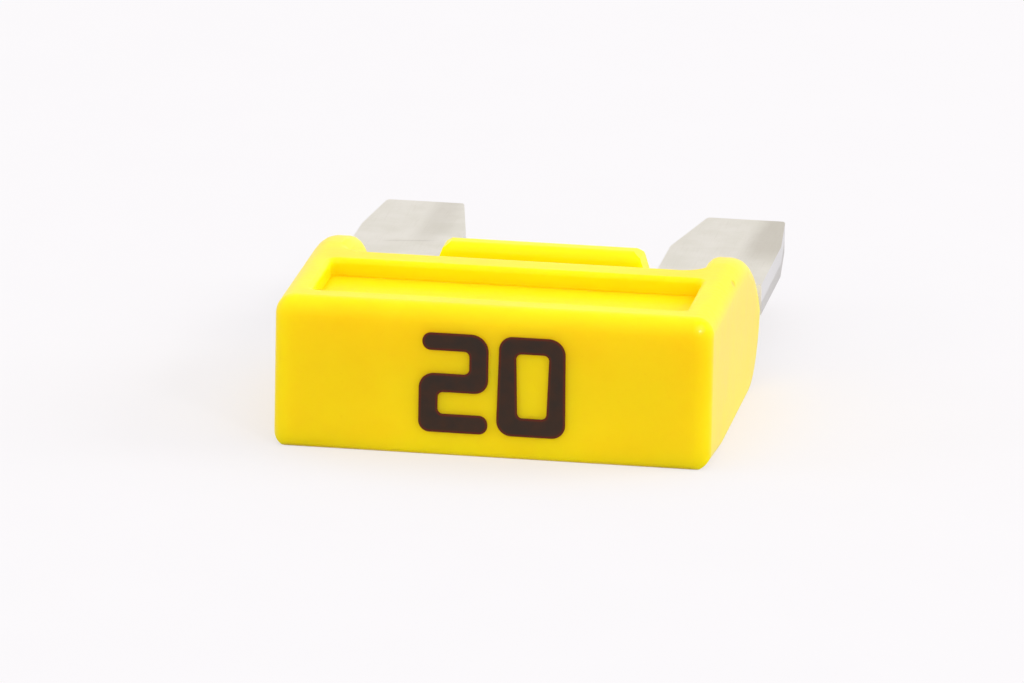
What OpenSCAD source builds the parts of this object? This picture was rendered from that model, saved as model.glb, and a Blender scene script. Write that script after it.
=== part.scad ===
// Miniature automotive blade fuse: a one-piece moulded housing and one stamped fuse element.
// The fuse lies on a broad side: X across the blades, +Y towards the blade tips, +Z up. Millimetres.

/* [Overall] */
// Width across the housing
width = 10.92; // [8:0.01:16]
// Length from the head face to the blade tips
length = 16.26; // [13:0.01:22]
// Thickness of the head
thick = 3.81; // [3:0.01:6]

/* [Head] */
// Length of the full-thickness head behind its face
head_len = 4.95; // [4:0.05:7]
// Rounding of the upper outer edges, from the head face to the ends of the noses
edge_r = 0.48; // [0.2:0.01:0.6]
// Rounding of the lower edges
edge_r_low = 0.14; // [0.05:0.01:0.3]
// Rounding of the lower outer edges where they meet the head face
corner_r = 0.42; // [0.2:0.01:0.6]
// Length over which that rounding sharpens to the one of the lower edges
corner_len = 2.6; // [1:0.1:4]
// Rounding of the head face's rim at the top and at both ends
face_r = 0.42; // [0.1:0.01:0.45]
// Rounding of the head face's lower edge
face_r_low = 0.12; // [0.05:0.01:0.3]

/* [Pockets in the broad sides] */
// Depth of each pocket
pocket_depth = 0.45; // [0.2:0.01:0.6]
// Width of the rim between the head face and a pocket
pocket_front_rim = 0.95; // [0.4:0.01:1.5]
// Width of the rim behind a pocket
pocket_rear_rim = 0.98; // [0.6:0.01:1.5]
// Width of the rim at each end of a pocket
pocket_side_rim = 0.79; // [0.7:0.01:1.6]
// Rounding of a pocket's corners
pocket_r = 0.22; // [0.05:0.01:0.5]
// Rounding of the rim's inner edges
rim_r = 0.14; // [0.05:0.01:0.2]

/* [Side columns] */
// Width of each column beside the centre body
column_w = 0.97; // [0.8:0.01:2]
// Length from the head face to the end of a column's nose
column_end = 9.33; // [8:0.01:12]
// Straight stretch of a column's upper side between the corner behind the head and the nose's curve
nose_flat = 0.06; // [0.02:0.01:2]
// Radius of the nose's upper curve in side view
nose_r_top = 5.2; // [3:0.01:8]
// Radius of the nose's lower curve in side view
nose_r_low = 1.98; // [1:0.01:3]
// Rounding of the upper edges round the space between the columns
bay_round = 0.24; // [0.1:0.01:0.4]
// Radius of the inside corners where the columns meet the head
bay_r = 0.54; // [0.3:0.01:0.6]

/* [Centre body] */
// Length from the head face to the end of the window walls
web_end = 8.4; // [7:0.05:11]
// Thickness over the window walls
web_t = 1.7; // [1.5:0.05:2.4]
// Length of the window cavity round the link
window_len = 2.7; // [2:0.05:4]
// Height of the window cavity
window_h = 1.1; // [0.9:0.05:1.3]
// Plastic left between the head's rear face and the window cavity
window_setback = 0.2; // [0.1:0.05:1]

/* [End rib] */
// Width of the rib along its crest
rib_w = 4.96; // [4:0.01:7]
// Extra width of the rib at mid-thickness, on each side
rib_flare = 0.34; // [0:0.01:0.8]
// Corner cut at each end of the rib's crests
rib_cut = 0.14; // [0:0.01:0.3]
// Rounding of the rib's ends, seen from above
rib_end_r = 0.34; // [0.1:0.01:0.4]
// Thickness over the two rib crests
rib_t = 2.79; // [2.2:0.01:3.4]
// Length of the rib towards the blade tips
rib_len = 0.8; // [0.5:0.01:1.5]
// Length from the head face to the end of the rib
rib_end = 8.78; // [8:0.01:12]
// Rounding of the rib's crests
rib_r = 0.28; // [0.05:0.01:0.4]

/* [Fuse element] */
// Thickness of the blades
blade_t = 0.8; // [0.6:0.01:1]
// Width of each blade
blade_w = 2.8; // [2.2:0.01:3.4]
// Clear distance between the two blades
blade_gap = 5.32; // [4.6:0.01:7]
// Plastic outside each blade's shank in the columns
shank_wall = 0.5; // [0.3:0.01:0.8]
// Length from the head face to the inner ends of the shanks
shank_start = 1.3; // [0.8:0.05:2.5]
// Length of the taper on the inner side of a blade's tip
taper_len = 3.6; // [2:0.05:5]
// Length of the taper on the outer side of the tip
taper_len_out = 3.06; // [2:0.01:5]
// Taper on the inner side of the tip
taper_in = 0.52; // [0:0.01:0.8]
// Taper on the outer side of the tip
taper_out = 0.22; // [0:0.01:0.8]
// Width of the corner cut at the tip
tip_cut = 0.3; // [0:0.01:0.5]
// Length of the corner cut at the tip
tip_cut_len = 0.62; // [0:0.01:1]
// Length of the coined lead-in at the tip
coin_len = 0.5; // [0.2:0.05:1]
// Thickness of the coined tip
coin_t = 0.52; // [0.3:0.01:0.8]
// Diameter of the stake hole in each shank
stake_d = 0.9; // [0.6:0.05:1.2]
// Length from a shank's inner end to its stake hole
stake_inset = 1.5; // [0.8:0.05:2]

/* [Link] */
// Thickness of the link, milled down from the blade
link_t = 0.3; // [0.15:0.01:0.5]
// Width of the link's strip
link_w = 0.62; // [0.4:0.01:0.9]
// Radius to the middle of the link's bow
link_r = 1.1; // [0.8:0.01:1.5]
// Width left at the narrow neck that melts
neck_w = 0.3; // [0.15:0.01:0.5]
// Room between the link's feet and the end of the window cavity
link_room = 0.2; // [0.1:0.05:0.5]

/* [Fit] */
// Clearance between the element and the slot, on each side
slot_clear = 0.03; // [0.01:0.01:0.1]

/* [View] */
// Part to draw: all, housing or fuse_element

/* [Hidden] */
$fn = 40;
fine = 64;                                          // facets of the long curves
coarse = 24;                                        // facets of the small holes
eps = 0.01;
over = 1;                                           // how far a cutter runs past what it cuts
skim = 0.005;                                       // how far the slanted edge cutter stands off both faces
wall_bite = 0.3;                                    // how far the window walls run into their neighbours
mid = thick / 2;                                    // height of the parting plane
half_w = width / 2;
column_x = half_w - column_w;                       // inner side of a column
crest_start = head_len + bay_r;                     // where a column's inner edges start
nose_start = crest_start + nose_flat;               // where the nose curves away from the upper side
nose_start_low = column_end - nose_r_low;           // and from the lower side
pocket_x = half_w - pocket_side_rim;
pocket_end = head_len - pocket_rear_rim;
blade_in = blade_gap / 2;                           // inner edge of a blade
blade_out = blade_in + blade_w;                     // outer edge of a blade
shank_out = half_w - shank_wall;                    // outer edge of a shank inside its column
shoulder = column_end + slot_clear;                 // where a blade widens behind the nose
stake_x = (blade_in + shank_out) / 2;
stake_y = shank_start + stake_inset;
window_start = head_len + window_setback;
window_end = window_start + window_len;
link_foot = window_end - link_w - link_room;        // start of the straight feet of the link
slot_t = blade_t + 2 * slot_clear;

// Lays a profile drawn as (x, z) along +Y from y0 to y1.
module along_y(y0, y1) {
    translate([0, y1, 0]) rotate([90, 0, 0]) linear_extrude(y1 - y0) children();
}

// Lays a profile drawn as (y, z) along +X from x0 to x1.
module along_x(x0, x1) {
    translate([x0, 0, 0]) rotate([90, 0, 90]) linear_extrude(x1 - x0) children();
}

// Copies its children to the other side of the fuse.
module both_sides() {
    children();
    mirror([1, 0, 0]) children();
}

// Copies its children from the upper broad side to the lower one.
module both_faces() {
    children();
    translate([0, 0, thick]) mirror([0, 0, 1]) children();
}

// What has to go from a square corner at the origin, x and y growing inwards, to round it.
module round_off(r) {
    difference() {
        translate([-over, -over]) square(r + over);
        translate([r, r]) circle(r);
        translate([r, -over - eps]) square([r, r + over + eps]);
        translate([-over - eps, r]) square([r + over + eps, r]);
    }
}

// A w by h rectangle from the origin with rounded corners.
module round_rect(w, h, r) {
    difference() {
        square([w, h]);
        round_off(r);
        translate([w, 0]) mirror([1, 0]) round_off(r);
        translate([w, h]) rotate(180) round_off(r);
        translate([0, h]) mirror([0, 1]) round_off(r);
    }
}

// What the nose's curve takes away behind its start, drawn for the lower side.
module nose_off(start, r) {
    difference() {
        translate([start, -over]) square([column_end - start + over, r + over]);
        translate([start, r]) circle(r, $fn = fine);
    }
}

// Outline of the housing seen from a narrow side: rounded lower edge of the face and bullet-shaped nose.
module side_profile() {
    difference() {
        square([column_end, thick]);
        round_off(face_r_low);
        nose_off(nose_start_low, nose_r_low);
        translate([0, thick]) mirror([0, 1]) nose_off(nose_start, nose_r_top);
    }
}

// Lays a cutter's profile along the upper side and on round the nose; the upper side is at z = 0.
module along_top(y0, start = nose_start, r = nose_r_top) {
    along_y(y0, start) translate([0, thick]) children();
    translate([0, start, thick - r]) rotate([0, -90, 0])
        rotate_extrude(angle = 90, $fn = fine) translate([r, 0]) rotate(-90) children();
}

// The same along the lower side.
module along_bottom(y0) {
    translate([0, 0, thick]) mirror([0, 0, 1])
        along_top(y0, nose_start_low, nose_r_low) children();
}

// What rounds the outer edge on the +X side.
module outer_edge_off(r) {
    translate([half_w, 0]) rotate(180) round_off(r);
}

// What rounds a column's inner edge; it stays clear of the walls between the columns.
module inner_edge_off(r) {
    intersection() {
        translate([column_x, 0]) mirror([0, 1]) round_off(r);
        translate([column_x - eps, -r]) square([r + eps, r + over]);
    }
}

// Rounds the lower outer edge more near the head face, with a radius that shrinks along the head.
module lower_corner_off() {
    grow = (edge_r_low - 2 * skim - corner_r) / corner_len;
    lean = atan(grow);
    r0 = corner_r - grow * over;
    long = corner_len + over + bay_r;
    translate([half_w - r0 + skim, -over, r0 - skim]) mirror([0, 0, 1])
        rotate([-lean, 0, lean]) difference() {
            cube([r0 + over, long, r0 + over]);
            rotate([-90, 0, 0]) cylinder(r1 = r0, r2 = r0 + grow * long, h = long);
        }
}

// Rounds the rim of the head face: up both ends, round the upper corners and along the top.
module face_rim_off() {
    reach = half_w - edge_r;
    along_x(-reach - eps, reach + eps) translate([0, thick]) mirror([0, 1]) round_off(face_r);
    both_sides() {
        translate([half_w, 0, -over]) mirror([1, 0, 0])
            linear_extrude(thick - edge_r + over + eps) round_off(face_r);
        translate([reach, 0, thick - edge_r]) rotate([-90, 0, 0]) rotate([0, 0, -90])
            rotate_extrude(angle = 90) translate([edge_r, 0]) mirror([1, 0]) round_off(face_r);
    }
}

// Head, columns and window walls before the pockets are cut.
module outer_form() {
    difference() {
        intersection() {
            along_x(-half_w, half_w) side_profile();
            union() {
                difference() {
                    translate([-half_w, 0, 0]) cube([width, column_end, thick]);
                    bay();
                }
                window_walls();
            }
        }
        face_rim_off();
        both_sides() {
            along_top(-over) outer_edge_off(edge_r);
            along_top(crest_start) inner_edge_off(bay_round);
            along_bottom(-over) outer_edge_off(edge_r_low);
            along_bottom(crest_start) inner_edge_off(edge_r_low);
            lower_corner_off();
        }
    }
}

// Copies a flat profile to the other side of the fuse.
module both_sides2d() {
    children();
    mirror([1, 0]) children();
}

// Profile that rounds a hole's mouth over; x runs outwards from the centre of the hole's corner.
module mouth_off(corner, round) {
    translate([corner, 0]) difference() {
        translate([-eps, -round]) square([round + eps, round + over]);
        translate([round, -round]) circle(round);
    }
}

// A round-cornered hole from y0 to y1 in the upper broad side.
module hole(x, y0, y1, corner, depth) {
    translate([-x, y0, thick - depth]) linear_extrude(depth + over)
        round_rect(2 * x, y1 - y0, corner);
}

// Rounds over the front edge and front corners of a hole's mouth.
module mouth_front(x, y0, corner, round) {
    along_x(-x + corner, x - corner)
        translate([y0 + corner, thick]) mirror([1, 0]) mouth_off(corner, round);
    both_sides() translate([x - corner, y0 + corner, thick]) rotate([0, 0, -90])
        rotate_extrude(angle = 90) mouth_off(corner, round);
}

// The space between the columns behind the head.
module bay() {
    hole(column_x, head_len, column_end + over + bay_r, bay_r, thick + over);
    mouth_front(column_x, head_len, bay_r, bay_round);
    translate([0, 0, thick]) mirror([0, 0, 1]) mouth_front(column_x, head_len, bay_r, edge_r_low);
}

// The shallow pocket in the upper broad side.
module pocket() {
    centre = (pocket_front_rim + pocket_end) / 2;
    hole(pocket_x, pocket_front_rim, pocket_end, pocket_r, pocket_depth);
    mouth_front(pocket_x, pocket_front_rim, pocket_r, rim_r);
    translate([0, 2 * centre, 0]) mirror([0, 1, 0]) mouth_front(pocket_x, pocket_front_rim, pocket_r, rim_r);
    both_sides() along_y(pocket_front_rim + pocket_r, pocket_end - pocket_r)
        translate([pocket_x - pocket_r, thick]) mouth_off(pocket_r, rim_r);
}

// The thin walls over the link, joined to the head and both columns.
module window_walls() {
    reach = column_x + wall_bite;
    translate([-reach, head_len - wall_bite, mid - web_t / 2])
        cube([2 * reach, web_end - head_len + wall_bite, web_t]);
}

// Half of the rib's section, from mid-thickness down.
module rib_section() {
    crest = rib_t / 2;
    foot = web_t / 4;
    lean = rib_flare / (crest - foot);
    polygon([
        [-eps, -crest], [rib_w / 2 - rib_cut, -crest], [rib_w / 2 + lean * rib_cut, rib_cut - crest],
        [rib_w / 2 + rib_flare, -foot], [rib_w / 2 + rib_flare, eps], [-eps, eps]]);
}

// The rib that closes the centre body, with slanted ends and rounded crests.
module end_rib() {
    wide = rib_w + 2 * rib_flare;
    intersection() {
        along_y(rib_end - rib_len, rib_end) translate([0, mid]) both_sides2d() {
            rib_section();
            mirror([0, 1]) rib_section();
        }
        along_x(-half_w, half_w) translate([rib_end - rib_len, mid - rib_t / 2])
            round_rect(rib_len, rib_t, rib_r);
        translate([-wide / 2, rib_end - rib_len, 0]) linear_extrude(thick)
            round_rect(wide, rib_len, rib_end_r);
    }
}

// The slot that the element is pushed into from the rear, and the window cavity round its link.
module element_space() {
    translate([-shank_out - slot_clear, shank_start - slot_clear, mid - slot_t / 2])
        cube([2 * (shank_out + slot_clear), column_end, slot_t]);
    translate([-blade_in + slot_clear, window_start, mid - window_h / 2])
        cube([2 * (blade_in - slot_clear), window_len, window_h]);
}

// The plastic pressed into the shanks' stake holes.
module stakes() {
    both_sides() translate([stake_x, stake_y, mid - slot_t / 2 - eps])
        cylinder(d = stake_d - 2 * slot_clear, h = slot_t + 2 * eps, $fn = coarse);
}

module housing() {
    color([0.99, 0.87, 0.08]) {
        difference() {
            union() {
                outer_form();
                end_rib();
            }
            both_faces() pocket();
            element_space();
        }
        stakes();
    }
}

// One blade with its shank, drawn on the +X side.
module blade_outline() {
    difference() {
        polygon([
            [blade_in, shank_start], [shank_out, shank_start], [shank_out, shoulder],
            [blade_out, shoulder], [blade_out, length - taper_len_out],
            [blade_out - taper_out, length - tip_cut_len],
            [blade_out - taper_out - tip_cut, length],
            [blade_in + taper_in + tip_cut, length],
            [blade_in + taper_in, length - tip_cut_len],
            [blade_in, length - taper_len]]);
        translate([stake_x, stake_y]) circle(d = stake_d, $fn = coarse);
    }
}

// The blade's thickness along its length, coined thinner at the tip.
module blade_side() {
    polygon([
        [shank_start - over, -blade_t / 2], [length - coin_len, -blade_t / 2],
        [length, -coin_t / 2], [length, coin_t / 2],
        [length - coin_len, blade_t / 2], [shank_start - over, blade_t / 2]]);
}

// The narrow strip that melts: two straight feet and a bow with a thin neck at its crown.
module link_outline() {
    foot = link_foot + link_w / 2;
    difference() {
        union() {
            translate([0, foot]) difference() {
                circle(link_r + link_w / 2);
                circle(link_r - link_w / 2);
                translate([-over - 2 * link_r, 0]) square([2 * (over + 2 * link_r), over + 2 * link_r]);
            }
            both_sides2d() translate([link_r - link_w / 2, foot - eps])
                square([link_w, link_w / 2 + eps]);
            both_sides2d() translate([link_r - link_w / 2, foot + eps])
                square([blade_in - link_r + link_w / 2 + eps, link_w]);
        }
        translate([0, foot - link_r - link_w / 2 - link_w]) circle(link_w + (link_w - neck_w) / 2);
        translate([0, foot - link_r + link_w / 2 + link_w]) circle(link_w + (link_w - neck_w) / 2);
    }
}

module fuse_element() {
    color([0.8, 0.79, 0.76]) translate([0, 0, mid]) {
        both_sides() intersection() {
            translate([0, 0, -blade_t / 2]) linear_extrude(blade_t) blade_outline();
            along_x(0, half_w + over) blade_side();
        }
        translate([0, 0, -link_t / 2]) linear_extrude(link_t) link_outline();
    }
}

module placed() {
    translate([0, -length / 2, 0]) children();
}

placed() housing();
placed() fuse_element();
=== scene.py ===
"""Looks of a miniature blade fuse: moulded yellow housing, stamped zinc element, printed rating."""

import math

import bmesh
import bpy
from mathutils import Matrix, Vector


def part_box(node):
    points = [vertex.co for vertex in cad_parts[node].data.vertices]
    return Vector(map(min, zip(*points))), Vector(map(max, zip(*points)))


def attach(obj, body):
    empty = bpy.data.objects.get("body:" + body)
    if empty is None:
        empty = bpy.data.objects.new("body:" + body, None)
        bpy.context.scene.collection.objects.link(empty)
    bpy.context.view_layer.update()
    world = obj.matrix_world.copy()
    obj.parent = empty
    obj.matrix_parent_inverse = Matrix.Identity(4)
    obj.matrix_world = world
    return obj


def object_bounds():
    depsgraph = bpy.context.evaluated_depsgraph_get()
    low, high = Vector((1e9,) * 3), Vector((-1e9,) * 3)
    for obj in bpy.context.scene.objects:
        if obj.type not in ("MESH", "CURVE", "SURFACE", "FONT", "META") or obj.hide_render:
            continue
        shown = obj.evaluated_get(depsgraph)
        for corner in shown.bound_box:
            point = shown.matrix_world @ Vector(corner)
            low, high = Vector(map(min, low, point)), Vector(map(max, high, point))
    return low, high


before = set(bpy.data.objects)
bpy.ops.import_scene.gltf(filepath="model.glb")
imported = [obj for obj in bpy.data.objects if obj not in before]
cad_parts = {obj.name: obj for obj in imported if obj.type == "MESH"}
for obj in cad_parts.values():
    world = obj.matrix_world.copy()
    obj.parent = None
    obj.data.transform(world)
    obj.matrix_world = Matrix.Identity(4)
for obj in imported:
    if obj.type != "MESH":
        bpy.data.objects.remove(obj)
CAD_LOW, CAD_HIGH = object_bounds()
HOUSING_LOW, HOUSING_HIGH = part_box("housing")

MM = 0.001
RIM = "rim"                              # attribute of the print: 1 along its edge, 0 inside
FLOOR_GLOW = 0.66                        # how much of the floor's whiteness is its own
FLOOR_HALF = 1.2                         # half of the floor's side, in metres
CENTRE = (CAD_LOW + CAD_HIGH) / 2
FACE_Y = HOUSING_LOW.y                   # the head's face, which carries the rating
FLOOR_Z = CAD_LOW.z
SHOULDER_Y = HOUSING_HIGH.y + 0.03 * MM  # where a blade widens behind the column's nose

# middle of the housing's footprint
FOOT = Vector(((HOUSING_LOW.x + HOUSING_HIGH.x) / 2, (HOUSING_LOW.y + HOUSING_HIGH.y) / 2, FLOOR_Z))

# the head's upper right front corner, and two small marks measured from it
TOP_CORNER = Vector((HOUSING_HIGH.x, HOUSING_LOW.y, HOUSING_HIGH.z))
GLINT_PLACE = TOP_CORNER + Vector((-0.29, 0.09, -0.23)) * MM     # polished spot
NICK_PLACE = TOP_CORNER + Vector((-0.09, 4.48, -0.20)) * MM      # dent in the column's edge

# --- Camera -------------------------------------------------------------------------------------

VIEW_AZIMUTH = 8.585                     # degrees round from straight in front of the head's face
VIEW_ELEVATION = 15.307                  # degrees above the floor
VIEW_ROLL = 1.09                         # degrees that the camera leans
VIEW_DISTANCE = 280 * MM
VIEW_AIM = CENTRE + Vector((-1.76, 6.87, -3.037)) * MM
LENS = 378.1                             # millimetres, on a 36 mm sensor


def make_camera():
    """A long lens, from a little to the right of the head's face and a little above it."""
    data = bpy.data.cameras.new("camera")
    data.lens = LENS
    data.sensor_width = 36
    data.clip_start, data.clip_end = 0.01, 10
    camera = bpy.data.objects.new("camera", data)
    azimuth, elevation = math.radians(VIEW_AZIMUTH), math.radians(VIEW_ELEVATION)
    back = Vector((
        math.sin(azimuth) * math.cos(elevation),
        -math.cos(azimuth) * math.cos(elevation),
        math.sin(elevation)))
    level = (-back).to_track_quat("-Z", "Y").to_matrix()
    turned = level @ Matrix.Rotation(math.radians(VIEW_ROLL), 3, "Z")
    camera.matrix_world = Matrix.Translation(VIEW_AIM + back * VIEW_DISTANCE) @ turned.to_4x4()
    bpy.context.collection.objects.link(camera)
    bpy.context.scene.camera = camera


# --- Shader writing ---------------------------------------------------------------------------


class Wire:
    """One output socket in a node tree, which can be used in Python sums."""

    def __init__(self, tree, socket):
        self.tree, self.socket = tree, socket

    def _sum(self, operation, first, second=0.0):
        return self.tree.node("ShaderNodeMath", {"operation": operation}, {0: first, 1: second})

    def __add__(self, other):
        return self._sum("ADD", self, other)

    def __radd__(self, other):
        return self._sum("ADD", other, self)

    def __sub__(self, other):
        return self._sum("SUBTRACT", self, other)

    def __rsub__(self, other):
        return self._sum("SUBTRACT", other, self)

    def __mul__(self, other):
        return self._sum("MULTIPLY", self, other)

    def __rmul__(self, other):
        return self._sum("MULTIPLY", other, self)

    def __truediv__(self, other):
        return self._sum("DIVIDE", self, other)

    def __abs__(self):
        return self._sum("ABSOLUTE", self)

    def ramp(self, low, high):
        """0 below low, 1 above high and smooth between them."""
        return self.tree.node(
            "ShaderNodeMapRange", {"interpolation_type": "SMOOTHSTEP"},
            {"Value": self, "From Min": low, "From Max": high})


class Tree:
    """A material's node tree, written node by node."""

    def __init__(self, name):
        self.material = bpy.data.materials.new(name)
        self.material.use_nodes = True
        self.nodes = self.material.node_tree.nodes
        self.links = self.material.node_tree.links
        self.nodes.clear()
        self.place = self.node("ShaderNodeTexCoord", output="Object")

    def node(self, kind, settings=None, inputs=None, output=0):
        """Adds a node. Its settings are set first, then each input gets a number or a wire."""
        made = self.nodes.new(kind)
        for name, value in (settings or {}).items():
            setattr(made, name, value)
        for name, value in (inputs or {}).items():
            if isinstance(value, Wire):
                self.links.new(value.socket, made.inputs[name])
            else:
                made.inputs[name].default_value = value
        return Wire(self, made.outputs[output]) if made.outputs else made

    def stretched(self, x, y, z):
        """Object coordinates in millimetres, each axis multiplied by its own number."""
        scale = Vector((x, y, z)) / MM
        return self.node("ShaderNodeMapping", inputs={"Vector": self.place, "Scale": scale})

    def axis(self, name, output="Object"):
        """One object coordinate in millimetres, or one part of the surface's direction."""
        where = self.node("ShaderNodeTexCoord", output=output)
        part = self.node("ShaderNodeSeparateXYZ", inputs={"Vector": where}, output=name)
        return part / MM if output == "Object" else part

    def away(self, place, squash):
        """Distance from a place in millimetres, each axis multiplied by its own number."""
        scale = Vector(squash) / MM
        moved = self.node(
            "ShaderNodeMapping",
            inputs={"Vector": self.place, "Scale": scale, "Location": -place * scale})
        return self.node("ShaderNodeVectorMath", {"operation": "LENGTH"}, {0: moved}, output="Value")

    def noise(self, where, scale, detail=2.0, roughness=0.5):
        """Soft random pattern between 0 and 1."""
        return self.node(
            "ShaderNodeTexNoise",
            inputs={"Vector": where, "Scale": scale, "Detail": detail, "Roughness": roughness})

    def blend(self, factor, first, second):
        """One colour fading into another."""
        return self.node(
            "ShaderNodeMix", {"data_type": "RGBA"}, {0: factor, 6: first, 7: second}, output=2)

    def bump(self, height, distance, under=None):
        """Surface direction of a relief of this height, laid over another relief."""
        inputs = {"Height": height, "Distance": distance}
        if under is not None:
            inputs["Normal"] = under
        return self.node("ShaderNodeBump", inputs=inputs)

    def surface(self, **sockets):
        """A Principled surface; underscores in names stand for spaces."""
        inputs = {name.replace("_", " "): value for name, value in sockets.items()}
        return self.node("ShaderNodeBsdfPrincipled", inputs=inputs)

    def finish(self, surface):
        """Joins the surface to the output and hands back the material."""
        self.node("ShaderNodeOutputMaterial", inputs={"Surface": surface})
        return self.material


def tone(red, green, blue):
    """A colour given as it looks, in 0 to 255 steps, as the linear numbers that a shader takes."""
    def linear(step):
        level = step / 255
        return level / 12.92 if level <= 0.04045 else ((level + 0.055) / 1.055) ** 2.4
    return (linear(red), linear(green), linear(blue), 1.0)


# --- Materials ----------------------------------------------------------------------------------


def moulded_yellow():
    """Glossy, slightly translucent moulded plastic with faint flow clouds and a soft orange peel."""
    tree = Tree("moulded_yellow")
    even = tree.stretched(1, 1, 1)
    clouds = tree.noise(tree.stretched(1, 1.6, 1), 0.45, detail=3)
    specks = tree.noise(even, 9, detail=1)
    colour = tree.blend(clouds.ramp(0.35, 0.65), tone(250, 210, 12), tone(253, 215, 15))
    colour = tree.blend(specks.ramp(0.68, 0.8) * 0.25, colour, tone(246, 201, 3))

    # painted light: low in the recesses the colour is painted a paler lemon, which lifts their shade as
    # light coming through the thin walls would
    inside = 1 - abs(tree.axis("X")).ramp(4.5, 4.8)
    behind = tree.axis("Y").ramp(HOUSING_LOW.y / MM + 0.8, HOUSING_LOW.y / MM + 1.0)
    middle = (HOUSING_LOW.z + HOUSING_HIGH.z) / 2 / MM
    low = 1 - abs(tree.axis("Z") - middle).ramp(1.46, 1.8)
    colour = tree.blend(inside * behind * low, colour, tone(252, 221, 14))

    # a small dent in the column's edge, bumped and with painted shade darkening its colour, and a polished
    # spot on the head's corner
    dent_and_shade = 1 - tree.away(NICK_PLACE, (1.2, 0.6, 1.0)).ramp(0.04, 0.13)
    # painted shade: the dent's colour is darkened where its hollow would be shaded
    colour = tree.blend(dent_and_shade * 0.45, colour, tone(178, 160, 20))
    polished = 1 - tree.away(GLINT_PLACE, (1, 1, 1)).ramp(0.06, 0.16)

    peel = tree.noise(even, 5.5, detail=2)
    grain = tree.noise(even, 38, detail=1)
    skin = tree.bump(peel, 0.006 * MM, under=tree.bump(grain, 0.0008 * MM))
    skin = tree.bump(1 - dent_and_shade, 0.02 * MM, under=skin)
    return tree.finish(tree.surface(
        Base_Color=colour,
        Roughness=clouds * 0.10 + grain * 0.05 + 0.24,
        Normal=skin,
        Specular_IOR_Level=0.15,
        Coat_Weight=polished,
        Coat_Roughness=0.09,
        Subsurface_Weight=1.0,
        Subsurface_Radius=(1.0, 1.0, 0.25),
        Subsurface_Scale=0.8 * MM))


def stamped_zinc():
    """Tinned zinc strip: rolling lines, dull clouds and tiny dents, and sheared edges all round."""
    tree = Tree("stamped_zinc")
    even = tree.stretched(1, 1, 1)
    across = tree.axis("X")
    along = tree.axis("Y")
    height = tree.axis("Z")
    lines = tree.noise(tree.stretched(1, 0.05, 1), 16, detail=4, roughness=0.65)
    clouds = tree.noise(even, 0.9, detail=4)
    dents = tree.noise(even, 6, detail=1)
    colour = tree.blend(clouds.ramp(0.3, 0.7), tone(235, 231, 217), tone(243, 239, 228))
    colour = tree.blend(lines.ramp(0.5, 0.8) * 0.3, colour, tone(222, 216, 202))

    # darker bands: a broad one along the right blade's outer side, a faint one on the left blade
    drift = (clouds - 0.5) * 0.5
    right_darkening = (across + drift).ramp(4.35, 4.95) * along.ramp(2.5, 5.0)
    left_darkening = (1 - abs(across + drift + 3.55).ramp(0.1, 0.55)) * along.ramp(2.5, 5.0)
    off_line = abs(along - across * 0.21 - 4.42 + drift * 0.1)
    scuff = (1 - off_line.ramp(0.02, 0.1)) * (1 - abs(across + 4.0).ramp(0.35, 0.75))
    colour = tree.blend(right_darkening * 0.6 + left_darkening * 0.3 + scuff * 0.28, colour, tone(194, 187, 170))

    # the cut round the outline: a burnished upper band over a duller torn one
    cut = 1 - abs(tree.axis("Z", "Normal")).ramp(0.5, 0.9)
    colour = tree.blend(cut * 0.8, colour, tone(226, 226, 229))
    torn = cut * (1 - (height + lines * 0.25).ramp(1.90, 2.02))
    strokes = tree.noise(tree.stretched(1, 1, 0.04), 22, detail=2)
    colour = tree.blend(torn * (strokes * 0.3 + 0.25), colour, tone(180, 176, 168))

    # the shoulder behind each column's nose is dull, so that it doesn't mirror the plastic; its colour is
    # painted light, a pale bluish grey that cancels the yellow shade the nose casts on it
    near_nose = 1 - abs(along - SHOULDER_Y / MM).ramp(0.02, 0.06)
    dull_and_painted_light = near_nose * (1 - tree.axis("Y", "Normal").ramp(-0.8, -0.6))
    colour = tree.blend(dull_and_painted_light, colour, tone(222, 230, 255))

    worn = tree.bump(lines, 0.004 * MM, under=tree.bump(dents, 0.008 * MM))
    worn = tree.bump(strokes * cut, 0.01 * MM, under=worn)
    return tree.finish(tree.surface(
        Base_Color=colour,
        Metallic=1 - dull_and_painted_light * 0.9,
        Roughness=clouds * 0.14 + lines * 0.12 + torn * 0.15 + dull_and_painted_light * 0.2 + 0.28,
        Normal=worn))


def stamped_ink():
    """Hot-stamped dark brown print, redder and thinner along its rim."""
    tree = Tree("stamped_ink")
    even = tree.stretched(1, 1, 1)
    clouds = tree.noise(even, 2.2, detail=3)
    grain = tree.noise(even, 24, detail=2)
    rim = tree.node("ShaderNodeAttribute", {"attribute_name": RIM}, output="Fac")
    colour = tree.blend(clouds.ramp(0.3, 0.7), tone(60, 42, 33), tone(51, 41, 35))
    colour = tree.blend((rim * 1.2 + grain * 0.6 - 0.4).ramp(0, 1), colour, tone(92, 38, 22))
    return tree.finish(tree.surface(
        Base_Color=colour,
        Roughness=grain * 0.2 + 0.42,
        Normal=tree.bump(grain, 0.002 * MM),
        Specular_IOR_Level=0.1))


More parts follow.
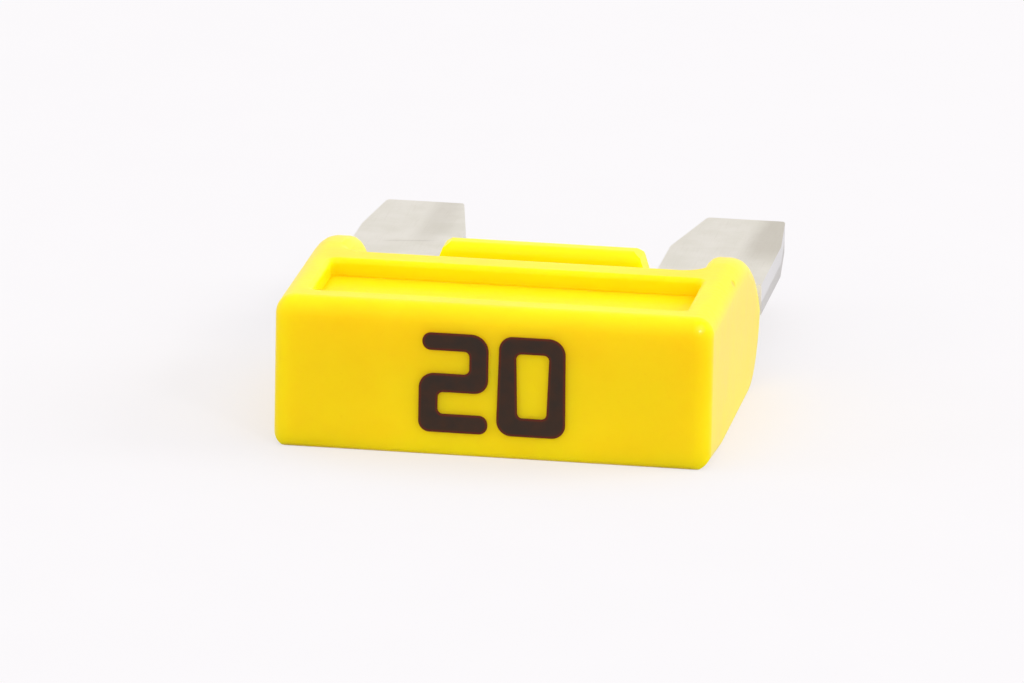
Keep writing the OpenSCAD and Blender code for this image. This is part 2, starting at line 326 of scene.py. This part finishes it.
def pale_floor():
    """White studio card, brighter to look at than as a lamp, with a painted warm glow beside the fuse that
    stands in for the yellow plastic's bounce light.
    """
    tree = Tree("pale_floor")
    tooth = tree.noise(tree.stretched(1, 1, 1), 0.3, detail=2).ramp(0.2, 0.8)
    looked_at = tree.node("ShaderNodeLightPath", output="Is Camera Ray")
    mirrored = tree.node("ShaderNodeLightPath", output="Is Glossy Ray")
    through = tree.node("ShaderNodeLightPath", output="Is Transmission Ray")
    seen = looked_at + mirrored + through
    # painted light: near the fuse the glow turns warm, a painted reflection of the yellow plastic's bounce
    # light, and the floor there is painted brighter for the light it throws back on the fuse
    painted_glow_near_fuse = 1 - tree.away(FOOT, (1.1, 1.05, 0.0)).ramp(4.6, 9.0)
    lit = tree.blend(tooth, (0.44, 0.43, 0.435, 1), (0.45, 0.44, 0.445, 1))
    lit = tree.blend(painted_glow_near_fuse, lit, (0.9, 0.88, 0.87, 1))
    shown = tree.blend(tooth, (0.72, 0.705, 0.71, 1), (0.73, 0.715, 0.72, 1))
    card = tree.surface(Base_Color=tree.blend(seen, lit, shown), Roughness=0.9, Specular_IOR_Level=0.0)
    white = tree.blend(painted_glow_near_fuse, (0.965, 0.948, 0.965, 1), (1.0, 0.94, 0.875, 1))
    glow = tree.node("ShaderNodeEmission", inputs={"Color": white, "Strength": 1.0})
    both = tree.node("ShaderNodeMixShader", inputs={0: seen * FLOOR_GLOW, 1: card, 2: glow})
    return tree.finish(both)


# --- Rating figures -------------------------------------------------------------------------

FIGURE_W = 1.73 * MM                     # width of one figure
FIGURE_H = 2.54 * MM
FIGURE_Z = 0.595 * MM                    # lowest point of the figures above the floor
TWO_X = -1.80 * MM
ZERO_X = 0.14 * MM
STROKE = 0.48 * MM
OUTER_R = 0.38 * MM                      # rounding of a figure's outer corners
INNER_R = 0.13 * MM
INK_T = 0.016 * MM                       # how far the print stands proud of the face
INK_LIP = 0.09 * MM                      # width of the redder rim
ARC_STEPS = 12
INK_EDGE = [                             # rounded edge: share of the lip, of the thickness, of the rim
    (0, -0.5, 1),
    (0.03, 0.55, 1),
    (0.12, 0.9, 1),
    (0.35, 1, 0.8),
    (1, 1, 0)]


def rounded(corners):
    """A closed outline's points, each with its outward side; corners (x, z, radius) become arcs."""
    points = []
    for i, (x, z, radius) in enumerate(corners):
        here = Vector((x, z))
        before = Vector(corners[i - 1][:2]) - here
        after = Vector(corners[(i + 1) % len(corners)][:2]) - here
        bulges = before.cross(after) < 0
        before.normalize()
        after.normalize()
        half = before.angle(after) / 2
        reach = radius / math.tan(half)
        middle = here + (before + after).normalized() * radius / math.sin(half)
        start = here + before * reach - middle
        end = here + after * reach - middle
        sweep = start.angle_signed(end)
        for step in range(ARC_STEPS + 1):
            arm = Matrix.Rotation(-sweep * step / ARC_STEPS, 2) @ start
            outward = arm.normalized() if bulges else -arm.normalized()
            points.append((middle + arm, outward))
    return points


def figure_two():
    """Outline of a 2 of one even stroke: three bars, joined on the right and then on the left."""
    w, h, s, r = FIGURE_W, FIGURE_H, STROKE, OUTER_R
    low_bar = (h - s) / 2                # underside of the middle bar
    high_bar = low_bar + s
    cap = s * 0.46
    set_in = s * 0.15                    # how far the top bar's end falls short of the left side
    top_bar = h - s * 0.94               # underside of the top bar
    return [rounded([
        (0, 0, r * 0.75), (w, 0, cap), (w, s, cap), (s, s, INNER_R),
        (s, low_bar, INNER_R), (w, low_bar, r * 0.9), (w, h, r * 1.15), (set_in, h, cap),
        (set_in, top_bar, cap), (w - s, top_bar, INNER_R), (w - s, high_bar, INNER_R), (0, high_bar, r)])]


def figure_zero():
    """Outer outline of a 0, and the outline of its open middle, which narrows a little downwards."""
    w, h, s, r = FIGURE_W, FIGURE_H, STROKE, OUTER_R
    lean = s * 0.1
    left_in, right_in = s * 0.11, s * 0.06       # how far the top falls short on either side
    outer = rounded([
        (0, 0, r), (w, 0, r * 0.9), (w - right_in, h, r * 1.1), (left_in, h, r * 0.9)])
    inner = rounded([
        (s + lean, s, INNER_R), (s, h - s + lean, INNER_R),
        (w - s + lean, h - s + lean, INNER_R), (w - s, s, INNER_R)])
    return [outer, inner]


def print_figure(name, outlines, x):
    """Makes one printed figure as a thin stamped layer with a soft edge and its own rim attribute."""
    edit = bmesh.new()
    rim = edit.verts.layers.float.new(RIM)
    flat = []
    for outline in outlines:
        rings = []
        for inset, height, share in INK_EDGE:
            ring = []
            for point, outward in outline:
                place = point - outward * inset * INK_LIP
                depth = FACE_Y - height * INK_T
                vert = edit.verts.new((x + place.x, depth, FLOOR_Z + FIGURE_Z + place.y))
                vert[rim] = share
                ring.append(vert)
            rings.append(ring)
        for low, high in zip(rings, rings[1:]):
            for i in range(len(low)):
                edit.faces.new((low[i - 1], low[i], high[i], high[i - 1]))
        for ring in (rings[0], rings[-1]):
            for i in range(len(ring)):
                found = edit.edges.get((ring[i - 1], ring[i]))
                flat.append((ring is rings[0], found))
    for back in (True, False):
        loop = [found for side, found in flat if side is back]
        bmesh.ops.triangle_fill(edit, edges=loop, use_beauty=True)
    bmesh.ops.remove_doubles(edit, verts=edit.verts, dist=0.0002 * MM)
    bmesh.ops.recalc_face_normals(edit, faces=edit.faces)
    for face in edit.faces:
        face.smooth = True
    mesh = bpy.data.meshes.new(name)
    edit.to_mesh(mesh)
    edit.free()
    return add_piece(name, mesh)


def add_piece(name, mesh):
    """Adds a piece of the fuse that rides on the fixed body."""
    piece = bpy.data.objects.new(name, mesh)
    bpy.context.collection.objects.link(piece)
    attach(piece, "root")
    return piece


def make_rating():
    """The rating 20 on the head's face."""
    ink = stamped_ink()
    two = print_figure("rating_two", figure_two(), TWO_X)
    zero = print_figure("rating_zero", figure_zero(), ZERO_X)
    for piece in (two, zero):
        piece.data.materials.append(ink)


# --- CAD parts --------------------------------------------------------------------------------


def dress(node, material):
    """Gives a CAD node its finish."""
    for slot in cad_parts[node].material_slots:
        slot.material = material


# --- Studio -----------------------------------------------------------------------------------


def make_floor():
    """A flat card under the fuse."""
    mesh = bpy.data.meshes.new("floor")
    signs = ((-1, -1), (1, -1), (1, 1), (-1, 1))
    corners = [(x * FLOOR_HALF, y * FLOOR_HALF, FLOOR_Z) for x, y in signs]
    mesh.from_pydata(corners, [], [(0, 1, 2, 3)])
    floor = bpy.data.objects.new("floor", mesh)
    bpy.context.collection.objects.link(floor)
    mesh.materials.append(pale_floor())


def softbox(name, place, size, power, mirrored=True):
    """A square soft lamp that faces the fuse. One that isn't mirrored leaves no glare on the metal."""
    data = bpy.data.lights.new(name, "AREA")
    data.shape = "SQUARE"
    data.size = size
    data.energy = power
    lamp = bpy.data.objects.new(name, data)
    lamp.location = CENTRE + Vector(place)
    lamp.rotation_euler = (-Vector(place)).to_track_quat("-Z", "Y").to_euler()
    lamp.visible_glossy = mirrored
    bpy.context.collection.objects.link(lamp)


def make_world(strength):
    """White walls all round."""
    world = bpy.data.worlds.new("studio")
    world.use_nodes = True
    background = world.node_tree.nodes["Background"]
    background.inputs["Color"].default_value = (0.97, 0.96, 0.98, 1)
    background.inputs["Strength"].default_value = strength
    bpy.context.scene.world = world


def make_studio():
    """Floor, white walls and lamps."""
    make_floor()
    make_world(0.92)
    softbox("top_box", (0.05, 0.10, 0.55), 0.5, 0.62, mirrored=False)
    softbox("right_box", (0.5, 0.15, 0.3), 0.3, 1.45, mirrored=False)
    softbox("left_box", (-0.5, -0.12, 0.14), 0.3, 0.5, mirrored=False)
    softbox("front_box", (0.0, -0.6, 0.07), 0.5, 0.74, mirrored=False)
    softbox("key_box", (0.33, -0.40, 0.31), 0.07, 0.45)


make_camera()
dress("housing", moulded_yellow())
dress("fuse_element", stamped_zinc())
make_rating()
make_studio()
bpy.context.scene.view_settings.view_transform = "Standard"
